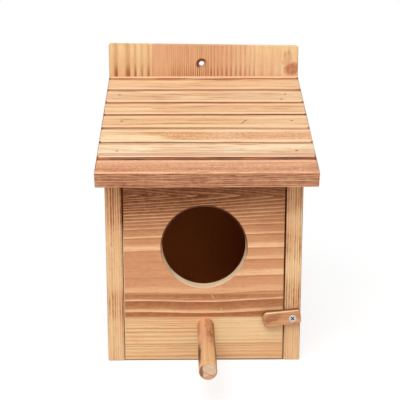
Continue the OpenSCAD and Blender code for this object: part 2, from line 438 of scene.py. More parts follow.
def panel_finish():
    """Two glued staves, grain level: the upper scorched, with rings that close in a long V, the lower pale."""
    material, surface, point = new_finish("scorched_panel")
    place = grain_axes(point, (0, PANEL_LOW[1], 0), X_AXIS, Z_AXIS, Y_AXIS)
    x, z, depth = parts(place)
    bent_z, bent_depth, streak, dash, fleck, cloud, mottle = wood_figure(place, sweep=1.5, ripple=0.55, seed=1)

    # Upper stave: the years counted outward from a heart line that the rings close on towards the right
    from_left = x - PANEL_LOW[0]
    sag = (reckon("COSINE", (x - 8) * 0.042) * 1.1 + 1.1) * fall(z, 62, 92)
    from_heart = 159 - bent_z - sag
    below = reckon("MAXIMUM", from_heart, 0)
    closing = from_left * 0.077 / (below * 0.04 + 1)
    radius = reckon("SQRT", from_heart * from_heart + 0.6) + closing + bent_depth * 0.5
    years = [(0, 0), (1.8, 1), (4.1, 2), (5.9, 3), (9, 4), (11.5, 5), (13.5, 6), (16, 7), (19, 8), (22, 9), (25, 10),
             (28, 11), (31.6, 12), (40.1, 13), (52.6, 14), (63, 15), (78, 16), (92.9, 17), (100.8, 18), (111.6, 19),
             (120, 19.8)]
    count = curve(radius, years, 120, 20)
    width = curve(count, [(0, 0.26), (8, 0.28), (11, 0.3), (12.05, 0.17), (13, 0.17), (13.05, 0.34), (15, 0.3),
                          (16, 0.32), (16.05, 0.3), (17, 0.3), (17.05, 0.2), (18, 0.18), (18.05, 0.24),
                          (20, 0.24)], 20, 1)
    width = width * (0.65 + noise(place, (0.04, 0.05, 0.05), 9) * 0.7)
    late, rise, _ = growth_rings(count, width)
    glow = curve(count, [(0, 0.45), (7, 0.6), (9.95, 0.9), (10, 0.5), (10.95, 0.5), (11, 1), (13.95, 0.9), (14, 0.2),
                         (14.95, 0.2), (15, 0.3), (15.95, 0.35), (16, 0.42), (17, 0.42), (17.05, 0.85),
                         (20, 0.85)], 20, 1)
    glow = glow + band(count, 14.02, 15.98, 0.02) * smooth(x, -30, 45) * 0.45
    calm = 1 - band(count, 14.02, 16.05, 0.03) * smooth(x, 30, -30) * 0.85
    glow = glow * calm
    seen_above = band(count, 2.02, 3.98, 0.02) + band(count, 5.02, 5.98, 0.02)
    glow = glow * (smooth(from_heart, -0.4, 0.4) * (1 - seen_above * 0.6) + seen_above * 0.6)
    deep = smooth(bent_z - smooth(x, -10, 60) * 12, 110, 158)
    dark_band = band(z, 43, 65, 1)
    bite = limited(deep, 0.75 + mottle * 0.4)
    brown = mix(bite, (208, 150, 109), (118, 63, 30))
    brown = mix(dark_band * (0.7 + mottle * 0.3), brown, (156, 94, 54))
    brown = mix(smooth(rise, 0, 0.85, 0, 0.4) * (1 - bite * 0.55) * calm, brown, (222, 172, 129))
    brown = mix(smooth(rise, 0, 0.14, 0.55, 0) * (1 - bite) * calm, brown, (170, 108, 70))
    brown = mix(mottle * cloud * 0.35, brown, (182, 118, 80))
    shine = limited(late * glow, 0.8 + streak * 0.3)
    light = mix(deep, (240, 194, 149), (230, 170, 122))
    upper = mix(shine, brown, light)
    upper = scorch(upper, spot(place, (74, 131, 0), (32, 17, 1), 0) * 0.28)
    upper = fibrous(dim(upper, 1.01), streak, fleck, 0.32)
    for across, height, tall, lean in ((14, 50, 3, 0.25), (6, 63, 3.5, -0.5), (-33, 102, 1.6, 0.4)):
        scratch = spot(place, (across, height, 0), (tall, 0.35, 1), 1.5708 - lean)
        upper = mix(scratch * 0.55, upper, (240, 200, 160))

    # Lower stave: straight soft red lines, faint towards the upper right
    heights = [(0, 0), (4.5, 1), (8.5, 2), (12, 3), (14.5, 4), (16.2, 5), (20, 6), (24, 7), (28.6, 8), (32, 9),
               (35, 10), (37, 11), (39, 12), (41, 13), (45, 14)]
    low_count = curve(bent_z, heights, 45, 14)
    plain = smooth(z, 17, 26) * smooth(x, -15, 20)
    luck = chance(reckon("FLOOR", low_count + 0.5), 3)
    late_low = line(low_count, 0.62)
    redness = limited(late_low * (0.5 + luck * 0.5) + dash * 0.25, 1 - plain * 0.72)
    lower = mix(cloud * 0.8, (234, 207, 159), (234, 190, 143))
    lower = mix(smooth(z, 26, 6) * smooth(x, -140, 20) * 0.5, lower, (214, 160, 112))
    lower = mix(redness * (0.55 + streak * 0.35), lower, (198, 134, 88))
    lower = fibrous(lower, streak, fleck, 0.2)

    joint = z + (noise(place, (0.03, 0.1, 0.1), 10) - 0.5) * 0.6
    colour = mix(smooth(joint, STAVE_JOINT - 0.3, STAVE_JOINT + 0.3), lower, upper)
    colour = mix(band(joint, STAVE_JOINT - 0.25, STAVE_JOINT + 0.25, 0.3) * 0.6, colour, GLUE_LINE)

    # Turned rim of the entrance, cut after scorching
    from_centre = vector_math("LENGTH", join(x - MIDDLE_X, 0, z - HOLE_Z))
    rim = fall(from_centre, HOLE_RADIUS + 0.75, HOLE_RADIUS + 0.95) * smooth(depth, 0.6, 0.9)
    colour = mix(rim, colour, mix(late * 0.35, mix(streak, (255, 222, 180), (255, 234, 202)), (240, 200, 158)))
    # Top chamfer of the entrance: scorch and painted shade, darker towards the top
    charred_and_shaded = fall(from_centre, HOLE_RADIUS + 0.9, HOLE_RADIUS + 1.3) * smooth(z, HOLE_Z - 18, HOLE_Z + 8)
    colour = mix(charred_and_shaded * (1 - rim), colour, (96, 50, 28))
    reach = edge_reach(place, (PANEL_LOW[0], PANEL_LOW[2], 0), (PANEL_HIGH[0], PANEL_HIGH[2], BOARD))
    gap_shade_share = gap_shade_amount(z, smooth(x, -10, 10))
    colour = mix(smooth(reach, 0.5, 1.2, 0.55, 0) * gap_shade_share, colour, CHAR)
    # Side faces in the gap: painted shade near the top, painted light lower down
    sides = 1 - band(x, PANEL_LOW[0] + 0.5, PANEL_HIGH[0] - 0.5, 0.2)
    colour = mix(sides, colour, mix(gap_shade_share, PAINTED_LIGHT, GAP_SHADE))
    colour = mix(cavity_soot(point) * (1 - rim), colour, SOOT)
    relief = late * 0.12 + streak * 0.05 - fleck * 0.08 - mottle * deep * 0.06
    return dress(material, surface, colour, 0.62 - late * 0.1, relief)


def wall_finish(name, start, along, across, inward, lines, torched, size, seed, on_right=1):
    """A plain board, with soft red lines in its thickness at the depths in lines.

    They are strongest where torched lists (from, to, strength). Behind the front edge the same years dive into the
    board, as 21 less a square of the distance from its middle, so they arch on its face.
    """
    material, surface, point = new_finish(name)
    place = grain_axes(point, start, along, across, inward)
    height, side, depth = parts(place)
    bent_side, bent_depth, streak, dash, fleck, cloud, mottle = wood_figure(place, sweep=0.5, ripple=0.25, seed=seed)
    swirl = (noise(place, (0.007, 0.022, 0.022), 19 + seed, 2) - 0.5) * 8
    middle_of_face = 66
    off_middle = bent_side - middle_of_face
    arch = 21 - off_middle * off_middle * 0.0043 + height * 0.055 + swirl
    inner = bent_depth + reckon("MAXIMUM", arch, 0) * smooth(side, 1, 26)
    knots = [(-6, 0)] + [(at, number + 3) for number, at in enumerate(lines)]
    knots += [(at + BOARD + 5, number + 12) for number, at in enumerate(lines)]
    count = curve(inner + 6, [(at + 6, number) for at, number in knots], 50, 24)
    luck = chance(reckon("FLOOR", count + 0.5), seed)
    wide = line(count, 0.66)
    untorched = strength = 0.34
    for bottom, top, amount in torched:
        strength = band(height, bottom, top, 8) * amount + strength
    red = limited(wide * (0.45 + luck * 0.55) + dash * 0.3, strength * (0.65 + mottle * 0.5))
    pale = mix(cloud, (238, 204, 156), (232, 188, 142))
    pale = mix(limited(strength - untorched, 0.35), pale, (212, 156, 112))
    pale = mix(red, pale, (158, 88, 48))
    late, rise, year = growth_rings(count, 0.36)
    bare = mix(cloud, (232, 184, 138), (218, 164, 120))
    bare = mix(late * 0.75, mix(rise * 0.35, bare, (222, 168, 122)), (186, 118, 74))
    burnt = mix(mottle * 0.6, (204, 146, 106), (172, 112, 76))
    burnt = mix(smooth(rise, 0, 0.8, 0, 0.45), burnt, (216, 164, 122))
    burnt = mix(late * (0.55 + year * 0.35), burnt, (238, 194, 150))
    face = fall(depth, 0.3, 0.9)
    torch = smooth(noise(place, (0.009, 0.02, 0.02), 27 + seed, 3, 0.55), 0.42, 0.6)
    colour = mix(face, pale, mix(torch, bare, burnt))
    colour = fibrous(colour, streak, fleck, 0.28)
    reach = edge_reach(place, ORIGIN, size)
    colour = mix(smooth(reach, 0.3, 1.1, 0.7, 0) * mottle * reckon("MINIMUM", strength, 1), colour, CHAR)
    # Inner face strip beside the panel: painted shade in the gap, painted light lower down
    gap = smooth(depth, BOARD - 0.6, BOARD - 0.3) * smooth(side, 0.5, 0.9) * smooth(side, 16.5, 16)
    colour = mix(gap, colour, mix(gap_shade_amount(height, on_right), PAINTED_LIGHT, GAP_SHADE))
    colour = mix(cavity_soot(point), colour, SOOT)
    return dress(material, surface, colour, 0.64 - wide * 0.08,
                 streak * 0.05 - fleck * 0.07 - red * 0.06 + late * face * 0.1)


def upright_size(low, high):
    """How far a wall reaches up, back and into its thickness, in millimetres."""
    return high[2], high[1] - low[1], BOARD


# Scorch marks at the knot: height, place across, half height, half width, turn, strength
BACK_SCORCH = [(271, 86.5, 9, 5.5, 0, 0.3), (259.5, 90.5, 7.4, 8.6, 0, 1), (264, 93.5, 4, 4.5, 0, 0.7),
               (275, 83.8, 4, 1.3, 0.12, 0.4), (277.5, 88, 3.8, 1.2, -0.1, 0.45), (266.5, 81.6, 2.6, 1.3, -0.3, 0.4)]


def back_finish():
    """Three upright staves: broad pale bands, close red rings, then pale bands and a scorched knot at the edge."""
    material, surface, point = new_finish("back_board_wood")
    place = grain_axes(point, (0, BACK_LOW[1], 0), Z_AXIS, X_AXIS, Y_AXIS)
    z, x, depth = parts(place)
    bent_x, bent_depth, streak, dash, fleck, cloud, mottle = wood_figure(place, sweep=0.8, ripple=0.2, seed=6)
    lines = [(-98, 0), (-88, 1), (-75, 2), (-69, 3), (-62, 4), (-55.5, 5), (-53.5, 5.5), (-33, 14), (5.5, 31),
             (15.5, 34), (53, 42), (62, 43), (72, 44), (80, 45), (98, 47)]
    count = curve(bent_x + 98 + bent_depth * 0.25, [(a + 98, n) for a, n in lines], 200, 48)
    share = curve(count, [(0, 0.36), (5, 0.36), (5.6, 0.4), (14, 0.42), (31, 0.45), (34, 0.4), (42, 0.35),
                          (48, 0.2)], 48, 1)
    late, _, year = growth_rings(count, share)
    strength = curve(count, [(0, 0.95), (5.4, 0.95), (5.6, 0.12), (12, 0.2), (15, 0.85), (31, 1), (36, 0.85), (42, 0.5),
                             (44, 0.2), (48, 0.2)], 48, 1)
    front = smooth(depth, 3, 1)
    near_roof = (1 - front) * 0.7 + smooth(z, 254, 268, 1, 0.45) * front
    middle = band(bent_x, -53.2, 45, 0.6)
    base = mix(middle, mix(cloud, (224, 192, 146), (222, 176, 130)), (217, 168, 127))
    base = mix(smooth(bent_x, 15, 50), base, (226, 184, 142))
    base = mix(smooth(bent_x, 48, 60) * smooth(cloud, 0.2, 0.9) * 0.5, base, (230, 202, 158))
    red = limited(late * strength * near_roof, 0.6 + year * 0.4)
    base = mix(smooth(z, 262, 284) * (1 - middle) * 0.5, base, (236, 204, 150))
    darkest = (1 - smooth(z, 256, 272)) * front
    colour = mix(red, base, mix(darkest, (180, 116, 70), (152, 84, 44)))
    colour = mix(dash * 0.3 * middle, colour, (186, 116, 74))
    for up, across, half_length, half_width, turn, amount in BACK_SCORCH:
        licked = spot(place, (up, across, 0), (half_length, half_width, 1), turn)
        colour = mix(licked * amount * front * (0.7 + mottle * 0.4), colour, (184, 120, 82))
    colour = mix(smooth(z, 252, 258, 0.22, 0) * front, colour, (190, 124, 80))
    # Countersink of the hanging hole: painted shade, strongest on its upper left wall
    from_hole = vector_math("LENGTH", join(x - MIDDLE_X, z - HANG_Z, 0))
    countersink_shade = fall(from_hole, 5.2, 6.4) * smooth(x - z, MIDDLE_X - HANG_Z - 2, MIDDLE_X - HANG_Z + 3, 1, 0.15)
    colour = mix(countersink_shade * smooth(depth, 8, 6) * 0.85, colour, (122, 64, 30))
    colour = fibrous(colour, streak, fleck, 0.28)
    reach = edge_reach(place, (0, BACK_LOW[0], 0), (BACK_HIGH[2], BACK_HIGH[0], BOARD))
    colour = mix(smooth(reach, 0.4, 1.1, 0.4, 0) * mottle, colour, CHAR)
    colour = mix(cavity_soot(point), colour, SOOT)
    return dress(material, surface, colour, 0.64 - late * 0.08, late * strength * 0.08 + streak * 0.05 - fleck * 0.07)


# Tone of the wood between the grooves, from the front strip back
ROOF_STRIPS = [(209, 158, 124), (236, 224, 192), (236, 211, 173), (229, 194, 149), (228, 189, 146), (231, 200, 160),
               (233, 196, 154), (234, 196, 150)]

# Marks on the roof: middle across, middle back along the slope, half length, half width, turn, strength
ROOF_STREAKS = [(-76, 186, 22, 2.4, 0, 0.5), (-36, 185.5, 24, 2.6, 0, 0.85), (0, 184.8, 16, 2.4, 0, 0.6),
                (22, 184, 20, 3.6, 0, 0.75), (54, 186.8, 24, 1.6, 0, 0.6), (86, 185.8, 14, 1.8, 0, 0.5),
                (-4, 152, 18, 1.1, -0.07, 0.95), (18, 150.8, 16, 1, 0, 0.4), (-44, 119.8, 9, 1, 0.04, 0.7),
                (-12, 122.6, 24, 1.7, 0.05, 0.45), (4, 125.5, 20, 1.1, 0.03, 0.5), (36, 119.6, 10, 0.9, 0, 0.6),
                (42, 124.4, 22, 0.9, 0.03, 0.4), (72, 124, 22, 1.2, 0, 0.4), (20, 112.4, 70, 0.7, 0, 0.35),
                (20, 95.6, 78, 0.6, 0, 0.6), (-52, 88.4, 40, 1.4, 0.03, 0.6), (-18, 89.4, 34, 1.9, 0, 0.8),
                (30, 89.6, 34, 1.5, 0, 0.45), (-76, 71.6, 18, 0.8, 0, 0.5), (-48, 71, 14, 1.8, -0.02, 0.7),
                (-20, 71, 24, 1.4, 0, 0.5), (-6, 170.4, 7, 1, 0, 0.4), (30, 168.5, 36, 1.6, 0, 0.25),
                (-42, 175, 16, 1.2, 0, 0.25), (-40, 31.4, 56, 1.8, 0, 0.3), (60, 31.6, 40, 2.2, 0, 0.3),
                (-70, 4, 34, 0.7, 0, 0.5), (-14, 6.8, 20, 0.8, 0, 0.5), (40, 6, 50, 0.8, 0, 0.4)]

# How each groove was burnt, the double one at the front first. In millimetres: depth painted pale as a highlight under
# the lips, depth where the burn fades, creep behind the groove, creep before it, drift to the front on the right. Then
# strength
GROOVE_BURNS = [(0.45, 3, 0, 0.5, 0, 0.92), (0.25, 3, 0, 3.2, 0.9, 0.82), (0, 0.7, 1, 1.5, 0.8, 0.68),
                (0, 0.65, 0.4, 0.6, 0, 1), (0.38, 3, 0, 2.4, 0, 1), (0, 3, 0.9, 0.5, 0, 0.6), (0, 3, 0, 2.4, 0, 0.42)]

# Places of the roof's brads: across, back along the slope
ROOF_BRADS = [(-84.5, 149), (-79, 94), (-80, 38), (80.5, 150), (76, 139), (82, 94.5), (81, 38)]


def roof_finish():
    """Strips of pale wood between cut grooves, each with its own tone and rings, and a scorched front edge."""
    material, surface, point = new_finish("roof_wood")
    cosine, sine = math.cos(ROOF_SLOPE), math.sin(ROOF_SLOPE)
    place = grain_axes(point, (0, ROOF_LOW[1], ROOF_EDGE), X_AXIS, (0, cosine, sine), (0, -sine, cosine))
    x, back, up = parts(place)  # across the roof, back along its slope from the front edge, up from its top face
    bent_back, bent_up, streak, dash, fleck, _, mottle = wood_figure(place, sweep=1.6, ripple=0.5, seed=8)
    strip = reckon("MAXIMUM", reckon("FLOOR", (back - FIRST_GROOVE - DOUBLE_STEP) / GROOVE_STEP) + 1, 0)
    luck, second_luck = chance(strip, 1), chance(strip, 2)
    off_back = bent_back - strip * GROOVE_STEP - (luck * 60 - 16)
    off_up = bent_up - (second_luck * 26 + 8) + x * (luck - 0.5) * 0.14
    radius = reckon("SQRT", off_back * off_back + off_up * off_up)
    late, rise, year = growth_rings(radius / 3.1, 0.42)
    base = mix(smooth(up, -2.4, -0.6), (232, 190, 146), swatches(strip, ROOF_STRIPS))
    patch = smooth(noise(place, (0.017, 0.12, 0.12), 11, 3, 0.55), 0.4, 0.62)
    red = limited(late * (0.35 + year * 0.5) * patch + dash * (0.2 + patch * 0.6), 0.8)
    colour = mix(patch * 0.4, base, (228, 174, 132))
    gleam = smooth(noise(place, (0.013, 0.17, 0.17), 31, 3, 0.55), 0.5, 0.68) * smooth(strip, 0.4, 0.6)
    colour = mix(gleam * 0.6, colour, (246, 216, 172))
    colour = mix(red * 0.85, colour, (182, 112, 66))
    colour = mix(rise * 0.25, colour, (226, 172, 128))
    bare = spot(place, (-66, 62, 0), (36, 6, 1), 0)
    colour = mix(bare * 0.8, colour, (240, 216, 172))
    for across, along_slope, half_length, half_width, turn, amount in ROOF_STREAKS:
        streaked = spot(place, (across, along_slope, 0), (half_length, half_width, 1), turn)
        colour = mix(streaked * (0.5 + streak * 0.45) * amount, colour, (178, 112, 66))
    salt = smooth(noise(place, (0.33, 0.5, 0.5), 13, 3, 0.7), 0.38, 0.64)
    freckled = band(back, 57, 73, 1) * smooth(x + (back - 65) * 2.5, -52, -34)
    colour = mix(freckled * (0.25 + salt * 0.65), colour, mix(smooth(x, -30, 30), (202, 136, 72), (208, 146, 100)))
    rows = band(back, 10.5, 13.5, 1) + band(back, 5.5, 8, 0.8) + band(back, 3, 4.6, 0.5)
    first = fall(strip, 0.4, 0.6)
    peck = smooth(noise(place, (0.42, 0.7, 0.5), 14, 3, 0.65), 0.5, 0.68) * first
    colour = mix(peck * (0.3 + rows * 0.5), colour, (172, 108, 70))
    colour = mix(first * dash * 0.3, colour, (190, 126, 90))
    salmon = band(back, 28.9, 34.4, 0.4) * (0.6 + streak * 0.3)
    colour = mix(salmon, colour, (210, 158, 124))
    glint = smooth(noise(place, (0.4, 0.75, 0.6), 33, 3, 0.65), 0.56, 0.7)
    colour = scorch(colour, first * band(back, 3.6, 9.5, 1.2) * (0.15 + mottle * 0.35))
    colour = mix(first * glint * 0.55, colour, (255, 214, 182))
    colour = fibrous(colour, streak, fleck, 0.3)

    # Grooves: burnt and given painted shade inside, the burn creeping out over their lips, and a painted highlight on
    # the wood beyond it
    after = back - FIRST_GROOVE - DOUBLE_STEP
    nearest = reckon("MAXIMUM", reckon("ROUND", after / GROOVE_STEP), 0)
    off = after - nearest * GROOVE_STEP
    double = reckon("LESS_THAN", nearest, 0.5)
    foremost = double * reckon("LESS_THAN", off, -DOUBLE_STEP / 2)
    off = off + foremost * DOUBLE_STEP
    clean, fade, creep, spread, drift, strength = (
        curve(nearest, list(enumerate(habit)), 6, 3) for habit in zip(*GROOVE_BURNS))
    drift = drift * smooth(x, -60, 90)
    clean, spread = (clean + drift * 0.45) * (1 - foremost), spread + drift
    creep = reckon("MAXIMUM", creep - drift, 0)
    patchy = smooth(noise(place, (0.03, 0.2, 0.2), 17, 2), 0.32, 0.6)
    top = smooth(up, -0.12, -0.04)
    behind = off - GROOVE_REACH - creep
    before = 0 - off - GROOVE_REACH
    spread = spread * (0.6 + patchy * 0.6)
    beyond = reckon("MAXIMUM", 2.9 - double * 0.7, spread + 0.4)
    # Painted highlight: pale bands behind and before each groove, and on the groove walls just under the lips
    glow = band(behind, 0.5, 3.2, 0.3) * (1 - double) * 0.95 + band(before, beyond, 6.2 - double * 2.2, 0.8) * 0.65
    glow = glow * top * smooth(back, 192, 191) * (1 - band(back, 174, 186))
    glow = (glow + band(up, 0 - clean, -0.1, 0.06) * 0.8) * (0.6 + streak * 0.4)
    colour = mix(glow, colour, (255, 206, 168))
    lips = fall(before - spread, 0, 0.7) * smooth(before, -0.2, 0.1) * smooth(spread, 0.1, 0.5)
    colour = scorch(colour, lips * top * 0.62)
    rear_lip = fall(behind, -0.2, 0.3) * smooth(off, GROOVE_REACH - 0.2, GROOVE_REACH) * smooth(creep, 0.1, 0.4)
    colour = mix(rear_lip * top * 0.8, colour, (150, 92, 46))
    land = band(back, FIRST_GROOVE + 1.2, FIRST_GROOVE + DOUBLE_STEP - 1.2, 0.15) * top
    colour = mix(land, colour, mix(patchy, (166, 98, 58), (92, 42, 16)))
    # Groove insides: scorch and painted shade, from under the pale lips down
    groove_burn_and_shade = fall(up + clean, -0.16, -0.04) * smooth(up + fade, -0.3, 0.2, 0.35, 1)
    groove_burn_and_shade = groove_burn_and_shade * band(up, -2.2, 0.2, 0.1) * smooth(back, 3, 4)
    # Groove ends on the roof's sides: scorch and painted shade in the notches
    ends = smooth(reckon("ABSOLUTE", x), 95, 96.4) * smooth(reckon("ABSOLUTE", off), 3, 1.8)
    colour = mix(ends * smooth(up, -3.4, -2.2) * 0.75, colour, (92, 52, 34))
    burn = mix(patchy, (104, 54, 16), (66, 30, 6))
    burn = mix(double, burn, mix(patchy, (166, 92, 44), (84, 36, 8)))
    colour = mix(groove_burn_and_shade * strength, colour, burn)
    for across, along_slope in ROOF_BRADS:
        pressed = spot(place, (across, along_slope, 0), (2.2, 1.7, 1), 0.4)
        colour = mix(pressed * 0.45, colour, (160, 104, 64))
    crack = spot(place, (36.8, 92.5, 0), (6.4, 0.6, 1), 0.92)
    colour = mix(crack * 0.9, colour, (104, 62, 36))
    # Painted highlight along the roof's lit front arris
    front_edge_highlight = band(back, 0.2, 1.3, 0.3) * smooth(noise(place, (0.05, 0.3, 0.3), 18, 2), 0.35, 0.55)
    colour = mix(front_edge_highlight * 0.7, colour, (248, 200, 166))

    # Front face and underside, scorched darker
    front = fall(back + up * 0.2, 0, 0.8) * fall(up, -0.9, -0.5)
    front_late, _, front_year = growth_rings(bent_up / 1.9 + (noise(place, (0.02, 0.1, 0.3), 12, 2) - 0.5) * 3, 0.4)
    brown = mix(front_late * (0.3 + front_year * 0.6), mix(mottle, (194, 139, 105), (158, 99, 66)), (226, 176, 138))
    brown = mix(dash * 0.65, brown, (130, 74, 44))
    brown = scorch(brown, smooth(up, -6.5, -2, 0, 0.32))
    # Painted light on the lower front chamfer, which faces down into shade
    brown = mix(band(up, 0.1 - BOARD, 0.9 - BOARD, 0.15) * smooth(x, -80, -60) * 0.85, brown, (255, 214, 176))
    colour = mix(front, colour, fibrous(brown, streak, fleck, 0.42))
    under = smooth(up, 0.8 - BOARD, 0.2 - BOARD)
    colour = mix(under * 0.7, colour, dim(brown, 0.94 + streak * 0.12))
    reach = edge_reach(place, (ROOF_LOW[0], 0, -BOARD), (ROOF_HIGH[0], 400, 0))
    side_edge = fall(reach, 0.4, 1) * smooth(back, 2, 4)
    colour = mix(side_edge * mottle * 0.5, colour, CHAR)
    colour = mix(cavity_soot(point), colour, SOOT)
    return dress(material, surface, colour, 0.62 - late * 0.06, late * 0.07 + streak * 0.05 - fleck * 0.07)


def dowel_finish():
    """A turned dowel, grain along it, warm brown with dark torch marks down one side and a pale sawn end."""
    material, surface, point = new_finish("perch_wood")
    middle_x, middle_z = (PERCH_LOW[0] + PERCH_HIGH[0]) / 2, (PERCH_LOW[2] + PERCH_HIGH[2]) / 2
    place = grain_axes(point, (middle_x, PERCH_LOW[1], middle_z), Y_AXIS, X_AXIS, Z_AXIS)
    y, x, z = parts(place)
    bent_x, bent_z, streak, _, fleck, cloud, mottle = wood_figure(place, sweep=0.8, ripple=0.25, seed=12)
    off_x, off_z = bent_x + 9, bent_z + 14
    late, _, _ = growth_rings(reckon("SQRT", off_x * off_x + off_z * off_z) / 2.4, 0.35)
    clean = smooth(y, 62, 36)
    colour = mix(clean, mix(cloud, (236, 182, 138), (228, 166, 122)), mix(cloud, (238, 190, 138), (234, 180, 126)))
    colour = mix(late * 0.25, colour, (200, 134, 90))
    scorch_cloud = noise(place, (0.07, 0.2, 0.2), 21, 4, 0.62)
    dark = smooth(x + (scorch_cloud - 0.5) * 15, -2.5, 5.5) * smooth(y, 30, 62) * (0.45 + mottle * 0.55)
    colour = mix(dark * 0.85, colour, (152, 90, 48))
    smudge = band(x, -1.5, 4.5, 2.5) * band(y, 62, 100, 10) * mottle
    colour = mix(smudge * 0.45, colour, (162, 104, 62))
    blot = smooth(x + (scorch_cloud - 0.5) * 5, -4, -6.6) * band(y, 10, 48, 12)
    colour = mix(blot * 0.95, colour, (88, 46, 30))
    flush = smooth(x, -4, -6.6) * smooth(y, 66, 80) * (0.4 + streak * 0.4)
    colour = mix(flush, colour, (186, 118, 78))
    # Painted shade down the perch's right side
    right_side_shade = smooth(x, 5.9, 7.2) * (band(y, 12, 48, 8) * 0.6 + 0.35)
    colour = mix(right_side_shade, colour, (116, 66, 32))
    colour = fibrous(colour, streak, fleck, 0.2)
    end = fall(y, 0.1, 0.4)
    sawn = mix(smooth(noise(place, (0.2, 0.2, 0.2), 22), 0.35, 0.65), (220, 188, 158), (212, 178, 148))
    # Painted shade: a darker crescent at the lower left of the sawn end
    sawn = mix(smooth(z - x * 0.35, -3.2, -4.2) * 0.7, sawn, (206, 144, 108))
    sawn = mix(spot(place, (0, -6.4, -2.2), (4, 2.6, 1.6), 0) * 0.85, sawn, (120, 70, 44))
    crack = band(z + x * 0.45, -2.8, -2.1, 0.3) * smooth(x, 5, 3)
    sawn = mix(crack * (0.65 + smooth(x, -3, -6) * 0.35), sawn, (146, 92, 62))
    ring = reckon("SQRT", x * x + z * z)
    sawn = mix(smooth(ring, 6.3, 7) * (0.3 + mottle * 0.4), sawn, (150, 98, 66))
    colour = mix(end, colour, sawn)
    return dress(material, surface, colour, 0.6, late * 0.04 + streak * 0.04 - fleck * 0.05)


def button_finish():
    """A short lath with rounded ends, scorched a red brown, paler along its lower part."""
    material, surface, point = new_finish("turn_button_wood")
    cosine, sine = math.cos(BUTTON_TILT), math.sin(BUTTON_TILT)
    start = ((BUTTON_LOW[0] + BUTTON_HIGH[0]) / 2, BUTTON_LOW[1], (BUTTON_LOW[2] + BUTTON_HIGH[2]) / 2)
    place = grain_axes(point, start, (cosine, 0, sine), (-sine, 0, cosine), Y_AXIS)
    x, z, depth = parts(place)
    bent_z, bent_depth, streak, _, fleck, _, mottle = wood_figure(place, sweep=1.2, ripple=0.25, seed=14)
    late, _, _ = growth_rings((bent_z + bent_depth * 0.4 + x * 0.12) / 3.3, 0.35)
    colour = mix(late * 0.3, mix(mottle * 0.6, (198, 143, 101), (180, 122, 84)), (216, 160, 118))
    dark = spot(place, (-9, 1.2, 0), (10, 4.2, 1), 0.25)
    colour = mix(dark * (0.35 + mottle * 0.35), colour, (150, 94, 64))
    sweep = band(z + x * 0.08, -3.6, -1.6, 0.8) * smooth(x, -12, 0)
    colour = mix(sweep * 0.4, colour, (232, 178, 132))
    low_band = smooth(z, -4.4, -5.2) * smooth(x, 12, 2)
    colour = mix(low_band * 0.5, colour, (224, 168, 128))
    colour = fibrous(colour, streak, fleck, 0.2)
    # Painted highlight along the button's top edge
    lit = fall(depth, 0.05, 0.8) * smooth(z, 5.5, 6.5)
    colour = mix(lit * 0.85, colour, PAINTED_LIGHT)
    # Painted shade on the side faces: a dark outline round the button
    colour = mix(smooth(depth, 1, 2.2) * 0.8, colour, (104, 58, 30))
    return dress(material, surface, colour, 0.6, late * 0.05 + streak * 0.04 - fleck * 0.05)


def zinc_finish():
    """Zinc plated steel, finely scratched, with painted shade in the recess."""
    material, surface, point = new_finish("zinc_steel")
    place = grain_axes(point, ORIGIN, X_AXIS, Z_AXIS, Y_AXIS)
    cloud = noise(place, (0.8, 0.8, 0.8), 15, 3)
    scratch = noise(place, (3, 3, 3), 16, 4, 0.7)
    colour = mix(cloud, (214, 212, 206), (186, 184, 178))
    surface.inputs["Metallic"].default_value = 1
    # Painted shade in the screw's recess
    y = parts(point)[1] * 1000
    slot = smooth(y, BUTTON_LOW[1] + 0.15, BUTTON_LOW[1] + 0.6) * fall(y, BUTTON_HIGH[1], BUTTON_HIGH[1] + 1)
    colour = mix(slot, dim(colour, 0.85 + scratch * 0.25), (58, 54, 50))
    return dress(material, surface, colour, 0.3 + scratch * 0.2, scratch * 0.02)


def brad_finish():
    """Bare steel browned by the torch."""
    material, surface, point = new_finish("browned_steel")
    place = grain_axes(point, ORIGIN, X_AXIS, Z_AXIS, Y_AXIS)
    bloom = smooth(noise(place, (0.9, 0.9, 0.9), 25, 3), 0.35, 0.65)
    surface.inputs["Metallic"].default_value = 0.6
    return dress(material, surface, mix(bloom, (150, 124, 100), (112, 84, 64)), 0.4 + bloom * 0.25, bloom * 0.01)


def coat(name, material):
    """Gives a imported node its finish."""
    board = boards[name]
    if not board.material_slots:
        board.data.materials.append(material)
    for slot in board.material_slots:
        slot.material = material


coat("front_panel", panel_finish())
coat("left_wall", wall_finish(
    "left_wall_wood", (LEFT_LOW[0], LEFT_LOW[1], 0), Z_AXIS, Y_AXIS, X_AXIS, (2.5, 5.5, 7.5, 9.5, 12, 14),
    ((132, 200, 0.8), (84, 132, 0.16), (42, 68, 0.5)), upright_size(LEFT_LOW, LEFT_HIGH), 3, 0))
coat("right_wall", wall_finish(
    "right_wall_wood", (RIGHT_HIGH[0], RIGHT_LOW[1], 0), Z_AXIS, Y_AXIS, (-1, 0, 0), (2.2, 4.4, 6.6, 8.8, 11, 13.2),
    ((100, 126, 0.5), (50, 78, 0.7), (144, 200, 0.55)), upright_size(RIGHT_LOW, RIGHT_HIGH), 4))
coat("floor_board", wall_finish(
    "floor_wood", (FLOOR_LOW[0], FLOOR_LOW[1], 0), X_AXIS, Y_AXIS, Z_AXIS, (2, 4.6, 7.4, 9.6, 11.8, 14),
    ((20, 60, 0.3),), (FLOOR_HIGH[0] - FLOOR_LOW[0], FLOOR_HIGH[1] - FLOOR_LOW[1], BOARD), 5))
coat("back_board", back_finish())
coat("roof_board", roof_finish())
coat("perch", dowel_finish())
coat("turn_button", button_finish())
zinc = zinc_finish()
browned = brad_finish()
for screw in ("turn_button_screw", "left_pivot_screw", "right_pivot_screw"):
    coat(screw, zinc)


# ---------------- brads


def add_object(name, data):
    """A new object in the scene."""
    added = bpy.data.objects.new(name, data)
    bpy.context.scene.collection.objects.link(added)
    return added


